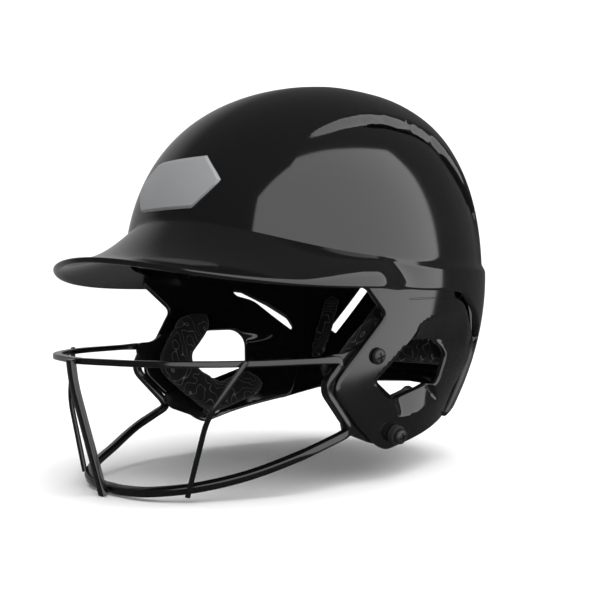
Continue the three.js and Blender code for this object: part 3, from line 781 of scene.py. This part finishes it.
# ---- vents -----------------------------------------------------------------------------
# each vent: azimuths and drops below the ridge in degrees, its width and how it widens
VENTS = (
    ((70, 104), (3.6, 4.2), 3.9, 0.0),
    ((107.5, 123), (3.9, 4.4), 3.2, 0.5),
)
VENT_STEPS, VENT_DEPTH = 16, 26


def vent_cutter(name, phis, drops, width, flare, sign):
    """A thin curved bar across the wall along the foot of the ridge."""
    path, ups = [], []
    ends = np.linspace(0, 1, VENT_STEPS)
    for t in ends:
        phi = math.radians(phis[0] + (phis[1] - phis[0]) * t)
        ridge = float(np.interp(phi, RIDGE_PHI, RIDGE_PSI))
        p = dome(phi, ridge + math.radians(drops[0] + (drops[1] - drops[0]) * t))
        path.append(p * (1, sign, 1))
        n = np.array([p[0] - CROWN_X, p[1] * 1.3, p[2]])
        ups.append(n / np.linalg.norm(n) * (1, sign, 1))
    verts, faces = sweep(path, np.array(ups), section_ring(width, VENT_DEPTH, 0.8))
    taper = np.minimum(1, np.minimum(ends, 1 - ends) * 7 + 0.25) * (1 + flare * ends)
    verts = np.array(verts).reshape(VENT_STEPS, -1, 3)
    for i, (p, n) in enumerate(zip(path, ups)):
        rel = verts[i] - p
        along = (rel @ n)[:, None] * n
        verts[i] = p + along + (rel - along) * taper[i]
    return add_object(name, verts.reshape(-1, 3), faces, None)


REAR_SLOT = ((-108, 45, 0), (-98, 66, -32))
REAR_SLOT_W, REAR_SLOT_DEPTH = 6.0, 40
REAR_SLOT_OUT = np.array([-0.862, 0.507, 0])


def rear_slot_cutter(name, sign):
    """A straight bar through the wall behind the ear, beside the rear pad."""
    ring = section_ring(REAR_SLOT_W, REAR_SLOT_DEPTH, 1.5)
    verts, faces = sweep(REAR_SLOT, np.array([REAR_SLOT_OUT, REAR_SLOT_OUT]), ring)
    return add_object(name, verts if sign > 0 else mirror_points(verts), faces, None)


for side, sign in LEFT_RIGHT:
    for count, vent in enumerate(VENTS, 1):
        cut(shell, vent_cutter(f"{side}_vent_cutter_{count}", *vent, sign))
    cut(shell, rear_slot_cutter(side + "_rear_slot_cutter", sign))

bpy.ops.object.select_all(action="DESELECT")
for o in (*flaps, shell):
    o.select_set(True)
bpy.context.view_layer.objects.active = shell
bpy.ops.object.join()
shell.name = "shell_body"
finish_part(shell, "shell", "outer_shell")


# ---- face guard ----------------------------------------------------------------------
RAIL_W = 4.8
TOP_RAIL_H, LOW_RAIL_H = 3.2, 4.3
CENTRE_W, CENTRE_D = 3.4, 5.0
SIDE_W, SIDE_D = 2.6, 2.7
SIDE_TURN = math.radians(50)
rail_low, rail_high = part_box("guard_upper_rail")
RAIL_Z = (rail_low.z + rail_high.z) / 2 / MM
TOP_FRONT = rail_high.x / MM - RAIL_W / 2
rail_low, rail_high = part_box("guard_lower_rail")
LOW_FRONT = rail_high.x / MM - RAIL_W / 2
LOW_Z = rail_low.z / MM + LOW_RAIL_H / 2


def wire_y(x, z):
    """The wire's middle beside the flap, with its inner side flush with the flap's."""
    return float(flap_y(np.array(x), np.array(z))) - WALL + RAIL_W / 2


def guard_half():
    """Left half of the closed wire, from the top front centre to the bottom front centre."""
    top = spline([
        (TOP_FRONT, 0, RAIL_Z), (162.5, 14.5, RAIL_Z), (154, 42, RAIL_Z), (137.2, 62.5, RAIL_Z),
        (116.4, 76.5, RAIL_Z), (89.2, 84.4, RAIL_Z), (78, wire_y(78, RAIL_Z), RAIL_Z)], 90)
    low = spline([
        (60, 79.5, -82.2), (80, 74, -88.9), (104, 62, -97), (126, 47.5, -102.2),
        (141.5, 29, -105), (145.8, 10, LOW_Z), (LOW_FRONT, 0, LOW_Z)], 90)
    bend = eased([
        top[-1], (61.5, wire_y(61.5, RAIL_Z), RAIL_Z), (72.5, wire_y(72.5, -52.5), -52.5),
        (47.5, wire_y(47.5, -78), -78), low[0]], 7, 1.0)
    return resample(np.vstack([top[:-1], bend, low[1:]]), 1.7)


def build_guard_loop():
    """Both rails and both brackets, one closed wire."""
    half = guard_half()
    loop = np.vstack([half, mirror_points(half[::-1][1:-1])])
    ahead = np.roll(loop, -1, 0) - np.roll(loop, 1, 0)
    ahead /= np.linalg.norm(ahead, axis=1, keepdims=True)
    # the section's flat side faces outwards all the way round, and leans down along the lower rail
    out = np.stack([loop[:, 0] - 40, loop[:, 1] * 1.3, 0 * loop[:, 0]], -1)
    low_run = smooth(-70, -84, loop[:, 2])
    out[:, 2] = -0.3 * low_run * np.linalg.norm(out[:, :2], axis=1)
    beside = np.abs(loop[:, 1]) > 75
    out[beside] = np.stack([0 * loop[beside, 0], np.sign(loop[beside, 1]), 0 * loop[beside, 0]], -1)
    for _ in range(6):
        out = (np.roll(out, 1, 0) + out + np.roll(out, -1, 0)) / 3
        out /= np.linalg.norm(out, axis=1, keepdims=True)
    ring = section_ring(RAIL_W, LOW_RAIL_H, 0.8)
    verts, faces = sweep(loop, np.cross(ahead, out), ring, closed=True)
    # the upper rail is less tall than the rest
    upper = smooth(66, 84, loop[:, 0]) * (loop[:, 2] > -45)
    squash = 1 - (1 - TOP_RAIL_H / LOW_RAIL_H) * upper
    verts = np.array(verts).reshape(len(loop), -1, 3)
    middle = loop[:, None, 2]
    verts[:, :, 2] = middle + (verts[:, :, 2] - middle) * squash[:, None]
    verts = verts.reshape(-1, 3)
    obj = add_object("guard_wire", verts, faces, GUARD)
    finish_part(obj, "guard", "guard_upper_rail", "guard_lower_rail", "left_guard_bracket",
                "right_guard_bracket")


build_guard_loop()


def flat_bar(name, node, path, outwards, size):
    """Upright bar with its flat side facing outwards and its edges eased."""
    path = eased(path, 8, 1.5)
    ahead = np.gradient(path, axis=0)
    side = np.tile(np.array(outwards, float), (len(path), 1))
    verts, faces = sweep(path, np.cross(ahead, side), section_ring(*size, 0.5))
    obj = add_object(name, verts, faces, GUARD)
    bevel = obj.modifiers.new("edge", "BEVEL")
    bevel.width = 0.25 * MM
    bevel.segments = 2
    bevel.limit_method = "ANGLE"
    bevel.angle_limit = math.radians(50)
    finish_part(obj, "guard", node)


SIDE_KNEE = (133, 63.5, -65)
CENTRE_STEP = 1.8  # how far the centre bar steps back below the upper rail


def build_bars():
    """The three uprights between the rails."""
    low, high = (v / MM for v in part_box("guard_centre_bar"))
    front = high.x - CENTRE_W / 2
    flat_bar("centre_bar", "guard_centre_bar", [
        (front, 0, high.z), (front - CENTRE_STEP, 0, -50), (low.x + CENTRE_W / 2, 0, low.z)],
        (1, 0, 0), (CENTRE_W, CENTRE_D))
    low, high = (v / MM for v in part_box("left_guard_side_bar"))
    reach = SIDE_W / 2 + 0.35
    for side, sign in LEFT_RIGHT:
        path = [(low.x + reach, high.y - reach, high.z), SIDE_KNEE,
                (high.x - reach, low.y + reach, low.z)]
        flat_bar(side + "_bar", side + "_guard_side_bar", [(x, y * sign, z) for x, y, z in path],
                 (math.cos(SIDE_TURN), math.sin(SIDE_TURN) * sign, 0), (SIDE_W, SIDE_D))


build_bars()


# ---- padding ----------------------------------------------------------------------------
PAD_GAP, PAD_T = 1.1, 17.0


def eased_span(count):
    """Values from -1 to 1, closer together towards both ends."""
    return np.sin(np.linspace(-1, 1, count) * math.pi / 2 * 0.96) / math.sin(1.508)


def pillow(name, at, around, up, thick):
    """Crowned cushion over a patch: at(s, t, depth) for s and t from -1 to 1.

    The back lies flat against the shell, the front is crowned, and the sides pull in
    between rounded corners to one welt."""
    cols = max(10, int(around / 4.5))
    rows = max(10, int(up / 4.5))
    s, t = np.meshgrid(eased_span(cols), eased_span(rows))
    full = np.maximum(0, (1 - np.abs(s) ** 5) * (1 - np.abs(t) ** 5))
    pull = 0.025
    rs = s * np.sqrt(1 - 0.16 * t * t) * (1 - pull * (1 - t * t))
    rt = t * np.sqrt(1 - 0.16 * s * s) * (1 - pull * (1 - s * s))
    base = WALL + PAD_GAP
    crown = base + thick * (0.34 + 0.66 * full ** 0.42)
    back = base + thick * 0.34 * (1 - full ** 0.3)
    verts, faces = closed_sheets(at(rs, rt, crown), at(rs, rt, back))
    return add_object(name, verts, faces, PAD, 180)


def patch_pad(name, phi0, phi1, z0, z1, thick=PAD_T, flare=0.0, lean=0.0, gap=0.0):
    """Cushion on the shell between two azimuths and two heights.

    flare spreads the sides towards the bottom and lean tips the top back, in degrees."""
    def at(s, t, depth):
        half = (phi1 - phi0) / 2 + flare * (1 - t) / 2
        phi = np.radians((phi0 + phi1) / 2 + half * s + lean * t)
        z = (z0 + z1) / 2 + (z1 - z0) / 2 * t
        return inside(phi, z, depth + gap)
    around = math.radians(abs(phi1 - phi0)) * 105
    return pillow(name, at, around, (z1 - z0) * 1.1, thick)


# angles down from the crown in degrees, then the depth of its middle and its half thickness
RING_PSI, RING_SPREAD = 23, 14.6
RING_DEPTH, RING_HALF_T = 7, 6.8


def crown_ring():
    """Domed ring cushion under the crown, with a hole at the top for air."""
    cols, rows = 96, 26
    phi = np.arange(cols) / cols * 2 * math.pi
    verts = []
    for k in range(rows):
        a = 2 * math.pi * k / rows
        share = math.copysign(abs(math.cos(a)) ** 0.75, math.cos(a))
        rise = math.copysign(abs(math.sin(a)) ** 0.7, math.sin(a))
        lobes = 1 - 0.12 * np.maximum(0, np.cos(6 * phi)) ** 8
        depth = WALL + PAD_GAP + RING_DEPTH - RING_HALF_T * rise * (lobes if rise < 0 else 1)
        psi = np.radians(RING_PSI + RING_SPREAD * share) + 0 * phi
        verts.append(dome(phi, psi, depth))
    verts = np.array(verts).reshape(-1, 3)
    faces = []
    for j in range(rows):
        for i in range(cols):
            n, m = (j + 1) % rows, (i + 1) % cols
            faces.append((j * cols + i, j * cols + m, n * cols + m, n * cols + i))
    return add_object("crown_cushion", verts, faces, PAD, 180)


JAW_OUTLINE = [
    (13, -20), (36, -20), (59, -47), (59, -58), (47, -68), (23, -86), (14, -87), (-28, -78.5),
    (-31, -70), (-18, -61), (11, -67.5), (37.5, -51.5), (13, -29.5),
]
JAW_T, JAW_GAP = 15.0, 2.9
JAW_EDGE, JAW_STEP = 3.6, 4.2
JAW_PUFF = 1.8  # left for the cloth to fill


def jaw_surface(pts):
    """The jaw pad's outer face, a gap inside the flap."""
    x, z = pts[:, 0], pts[:, 1]
    normal = flap_normals(x, z)
    place = np.stack([x, flap_y(x, z), z], -1) - normal * (WALL + JAW_GAP)
    return place, normal, 0 * x


def jaw_pads():
    loop = rounded_loop(JAW_OUTLINE, 6, 2.2)
    verts, faces = panel(loop, [], jaw_surface, JAW_T - JAW_PUFF, JAW_EDGE, JAW_STEP)
    for side, sign in LEFT_RIGHT:
        pts = verts if sign > 0 else mirror_points(verts)
        yield add_object(side + "_jaw_cushion", pts, faces, PAD, 180), side + "_jaw_pad"


CLOTH_VOXEL, CLOTH_FRAMES, CLOTH_CAP = 0.0042, 20, 1.2


def inflate(cushions, cap):
    """Puffs the cushions with cloth pressure, no point moving further than the cap."""
    scene = bpy.context.scene
    shapes = []
    for obj in cushions:
        remesh = obj.modifiers.new("even", "REMESH")
        remesh.mode = "VOXEL"
        remesh.voxel_size = CLOTH_VOXEL
        apply_modifiers(obj)
        start = np.empty(len(obj.data.vertices) * 3)
        obj.data.vertices.foreach_get("co", start)
        shapes.append(start.reshape(-1, 3))
        cloth = obj.modifiers.new("puff", "CLOTH")
        cloth.settings.use_pressure = True
        cloth.settings.uniform_pressure_force = 4
        cloth.settings.quality = 5
        cloth.settings.tension_stiffness = 30
        cloth.settings.compression_stiffness = 12
        cloth.settings.effector_weights.gravity = 0
        cloth.point_cache.frame_start = 1
        cloth.point_cache.frame_end = CLOTH_FRAMES
    for step in range(1, CLOTH_FRAMES + 1):
        scene.frame_set(step)
    for obj, start in zip(cushions, shapes):
        apply_modifiers(obj)
        end = np.empty(start.size)
        obj.data.vertices.foreach_get("co", end)
        move = end.reshape(-1, 3) - start
        size = np.linalg.norm(move, axis=1, keepdims=True)
        move *= np.minimum(1, cap * MM / np.maximum(size, 1e-9))
        obj.data.vertices.foreach_set("co", (start + move).ravel())
        obj.data.update()
    scene.frame_set(1)


def build_pads():
    """All eleven cushions, puffed by cloth and smoothed."""
    pads = [
        (patch_pad("forehead_cushion", -39, 39, 9, 65), "forehead_pad"),
        (patch_pad("rear_cushion", 160.8, 199.2, -55, -6, PAD_T, 19.5), "rear_pad"),
        (crown_ring(), "crown_pad"),
        *jaw_pads(),
    ]
    for side, sign in LEFT_RIGHT:
        pads.append((patch_pad(side + "_temple_cushion", 47 * sign, 99 * sign, 11, 71),
                     side + "_temple_pad"))
        pads.append((patch_pad(side + "_rear_side_cushion", 109 * sign, 149 * sign, 13, 71),
                     side + "_rear_side_pad"))
        pads.append((patch_pad(side + "_neck_side_cushion", 133.3 * sign, 141.2 * sign, -53, -3, 8,
                               lean=4 * sign, gap=3.0),
                     side + "_neck_side_pad"))
    inflate([p for p, _ in pads], CLOTH_CAP)
    for obj, node in pads:
        obj.data.shade_smooth()
        soft = obj.modifiers.new("soft", "SUBSURF")
        soft.levels = 1
        soft.render_levels = 1
        if not obj.data.materials:
            obj.data.materials.append(PAD)
        finish_part(obj, "pad", node)


build_pads()


# ---- fasteners ----------------------------------------------------------------------------
UPPER_SCREW, LOWER_SCREW = (38.2, -37.2), (14.0, -82.7)
HEAD_R, HEAD_H, TOUCH = 4.6, 3.0, 0.3
SPACER_T, SPACER_R, SPACER_BORE = 3.8, 5.5, 2.7
SHANK_R, SHANK_END = 2.4, -9
CROSS_ANGLE, CROSS_HALF = 0.35, 2.7


def turned(profile, at, sign, segments=48):
    """Solid of revolution on the flap's outward normal at (x, z); profile of (radius, height)."""
    x, z = np.array([at[0]], float), np.array([at[1]], float)
    axis = flap_normals(x, z)[0]
    centre = np.array([at[0], float(flap_y(x, z)[0]), at[1]])
    side = np.cross(axis, (0, 0, 1))
    side /= np.linalg.norm(side)
    up = np.cross(side, axis)
    verts, faces = [], []
    for r, h in profile:
        for k in range(segments):
            a = 2 * math.pi * k / segments
            verts.append(centre + axis * h + r * (math.cos(a) * side + math.sin(a) * up))
    rows = len(profile)
    for j in range(rows):
        n = (j + 1) % rows
        for k in range(segments):
            m = (k + 1) % segments
            faces.append((j * segments + k, j * segments + m, n * segments + m, n * segments + k))
    if sign < 0:
        verts = mirror_points(verts)
    return verts, faces, (centre * (1, sign, 1), axis * (1, sign, 1), side * (1, sign, 1))


def screw(name, node, at, lift, sign):
    """Pan-head screw with a cross recess."""
    base = lift + TOUCH
    profile = [(0.01, SHANK_END), (SHANK_R, SHANK_END), (SHANK_R, base - 0.01),
               (HEAD_R - 0.4, base), (HEAD_R, base + 0.4)]
    for k in range(9):
        a = math.pi / 2 * k / 8
        profile.append((HEAD_R * (0.62 + 0.38 * math.cos(a)) if k else HEAD_R,
                        base + 0.5 + (HEAD_H - 0.7) * math.sin(a)))
    profile.append((0.01, base + HEAD_H - 0.1))
    verts, faces, (centre, axis, side) = turned(profile, at, sign)
    obj = add_object(name, verts, faces, SCREW, 50)
    top = centre + axis * (base + HEAD_H)
    across = np.cross(axis, side)
    for angle in (CROSS_ANGLE, CROSS_ANGLE + math.pi / 2):
        d = side * math.cos(angle) + across * math.sin(angle)
        path = [top - d * CROSS_HALF, top + d * CROSS_HALF]
        blade, blade_faces = sweep(path, np.array([axis, axis]), section_ring(1.0, 3.2, 0.3))
        cut(obj, add_object(name + "_slot", blade, blade_faces, None))
    finish_part(obj, "screw", node)


def spacer(name, node, at, sign):
    """Rubber grommet and two washers under the lower screw head."""
    shares = [(-0.3, 0.02), (0, 0.07), (0, 0.42), (-0.4, 0.47), (-1.0, 0.49), (-0.4, 0.52),
              (0.05, 0.55), (0.05, 0.7), (-0.3, 0.73), (-0.9, 0.75), (-0.3, 0.78), (0, 0.81),
              (0, 0.95), (-0.3, 1.0)]
    profile = [(SPACER_BORE, TOUCH), (SPACER_R - 0.4, TOUCH)]
    profile += [(SPACER_R + out, TOUCH + share * SPACER_T) for out, share in shares]
    profile.append((SPACER_BORE, TOUCH + SPACER_T))
    verts, faces, _ = turned(profile, at, sign)
    finish_part(add_object(name, verts, faces, RUBBER, 35), "rubber", node)


for side, sign in LEFT_RIGHT:
    screw(side + "_upper_bolt", side + "_upper_screw", UPPER_SCREW, 0, sign)
    screw(side + "_lower_bolt", side + "_lower_screw", LOWER_SCREW, SPACER_T + 0.6, sign)
    spacer(side + "_grommet", side + "_lower_spacer", LOWER_SCREW, sign)


# ---- carried-over CAD nodes --------------------------------------------------------------
def dress(node, material):
    """Material and softened edges on a CAD node that is shown as it is."""
    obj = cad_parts[node]
    obj.data.materials.clear()
    obj.data.materials.append(material)
    mod = obj.modifiers.new("edge", "BEVEL")
    mod.width = 0.4 * MM
    mod.segments = 2
    mod.limit_method = "ANGLE"
    mod.angle_limit = math.radians(35)


for side, _ in LEFT_RIGHT:
    for level in ("upper", "lower"):
        dress(f"{side}_{level}_guard_tab", TAB)
        dress(f"{side}_{level}_nut", NUT)


# ---- badge --------------------------------------------------------------------------------
def build_badge():
    """Plain lozenge plate that follows the forehead."""
    low, high = (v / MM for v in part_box("forehead_badge"))
    cols, rows = 49, 21
    s, t = np.meshgrid(np.linspace(-1, 1, cols), np.linspace(-1, 1, rows))
    z = (low.z + high.z) / 2 + (high.z - low.z) / 2 * t
    half = high.y * (1 - 0.4 * np.abs(t) ** 1.15)
    edge = np.minimum((1 - np.abs(s)) * half, (1 - np.abs(t)) * (high.z - low.z) / 2)
    rise = 1.45 * np.sqrt(1 - (1 - np.clip(edge / 1.2, 0, 1)) ** 2)
    phi = np.arcsin(np.clip(half * s / 104, -1, 1)) * 1.02
    front = dome(phi, psi_at(z, -0.25 - rise), -0.25 - rise)
    rear = dome(phi, psi_at(z, -0.2), -0.2)
    verts, faces = closed_sheets(front, rear)
    finish_part(add_object("forehead_plate", verts, faces, BADGE, 40), "badge", "forehead_badge")


build_badge()


# ---- floor, light and background ----------------------------------------------------------
FLOOR_GAP = 0.0006
FLOOR_NEAR, FLOOR_FAR, FLOOR_HALF_W = -1.6, 1.0, 3.0
COVE_R, BACKDROP_TOP = 0.8, 2.6


def build_stage():
    """Pale floor that curves up into a backdrop behind the helmet."""
    floor_z = cad_low.z - FLOOR_GAP
    verts, faces = [], []
    depth = [(FLOOR_NEAR, 0.0), (FLOOR_FAR, 0.0)]
    for k in range(13):
        a = math.pi / 2 * k / 12
        depth.append((FLOOR_FAR + COVE_R * math.sin(a), COVE_R * (1 - math.cos(a))))
    depth.append((FLOOR_FAR + COVE_R, BACKDROP_TOP))
    for run, up in depth:
        for across in (-FLOOR_HALF_W, FLOOR_HALF_W):
            x = (-run - across) * math.sqrt(0.5)
            y = (-run + across) * math.sqrt(0.5)
            verts.append((x, y, floor_z + up))
    for i in range(len(depth) - 1):
        faces.append((2 * i, 2 * i + 1, 2 * i + 3, 2 * i + 2))
    mesh = bpy.data.meshes.new("floor")
    mesh.from_pydata(verts, [], faces)
    mesh.shade_smooth()
    floor = bpy.data.objects.new("floor", mesh)
    bpy.context.scene.collection.objects.link(floor)
    mat = new_material("pale_floor", (0.9, 0.9, 0.9), 0.95, specular=0.0)
    mesh.materials.append(mat)
    floor.visible_glossy = False


def area_light(name, place, target, size, energy):
    """Rectangular light aimed at a target."""
    data = bpy.data.lights.new(name, "AREA")
    data.shape = "RECTANGLE"
    data.size = size[0]
    data.size_y = size[1]
    data.energy = energy
    obj = bpy.data.objects.new(name, data)
    bpy.context.scene.collection.objects.link(obj)
    obj.location = place
    aim = Vector(target) - Vector(place)
    obj.rotation_euler = aim.to_track_quat("-Z", "Y").to_euler()
    return obj


# a large softbox beside the wearer's left, seen as the bright patches on the dome and flap
SOFTBOX_AT, SOFTBOX_AIM = (0.365, 0.85, 0.57), (0.365, 0, 0.57)
SOFTBOX_SIZE, SOFTBOX_WATTS = (3.13, 2.07), 47
OVERHEAD_AT, OVERHEAD_SIZE, OVERHEAD_WATTS = (0.0, 0.0, 1.9), (2.4, 2.4), 60

build_stage()
area_light("softbox", SOFTBOX_AT, SOFTBOX_AIM, SOFTBOX_SIZE, SOFTBOX_WATTS)
floor_light = area_light("overhead", OVERHEAD_AT, (0, 0, 0), OVERHEAD_SIZE, OVERHEAD_WATTS)
floor_light.visible_glossy = False


SURROUND, GLOW = 0.1, 0.4
GLOW_TOWARDS = (-0.16, -0.98, 0.1)


def build_world():
    """Even grey surround, brighter low down behind the helmet, white where the camera looks."""
    world = bpy.data.worlds.new("studio")
    bpy.context.scene.world = world
    world.use_nodes = True
    tree = world.node_tree
    back = tree.nodes["Background"]
    back.inputs["Color"].default_value = (1, 1, 1, 1)
    coord = tree.nodes.new("ShaderNodeTexCoord")
    dot = tree.nodes.new("ShaderNodeVectorMath")
    dot.operation = "DOT_PRODUCT"
    dot.inputs[1].default_value = GLOW_TOWARDS
    tree.links.new(coord.outputs["Generated"], dot.inputs[0])
    glow = tree.nodes.new("ShaderNodeMapRange")
    glow.interpolation_type = "SMOOTHSTEP"
    glow.inputs["From Min"].default_value = 0.75
    glow.inputs["From Max"].default_value = 0.95
    glow.inputs["To Min"].default_value = SURROUND
    glow.inputs["To Max"].default_value = GLOW
    tree.links.new(dot.outputs["Value"], glow.inputs["Value"])
    rays = tree.nodes.new("ShaderNodeLightPath")
    mix = tree.nodes.new("ShaderNodeMix")
    mix.inputs["B"].default_value = 1.0
    tree.links.new(rays.outputs["Is Camera Ray"], mix.inputs["Factor"])
    tree.links.new(glow.outputs["Result"], mix.inputs["A"])
    tree.links.new(mix.outputs["Result"], back.inputs["Strength"])


build_world()
bpy.context.scene.view_settings.view_transform = "Standard"
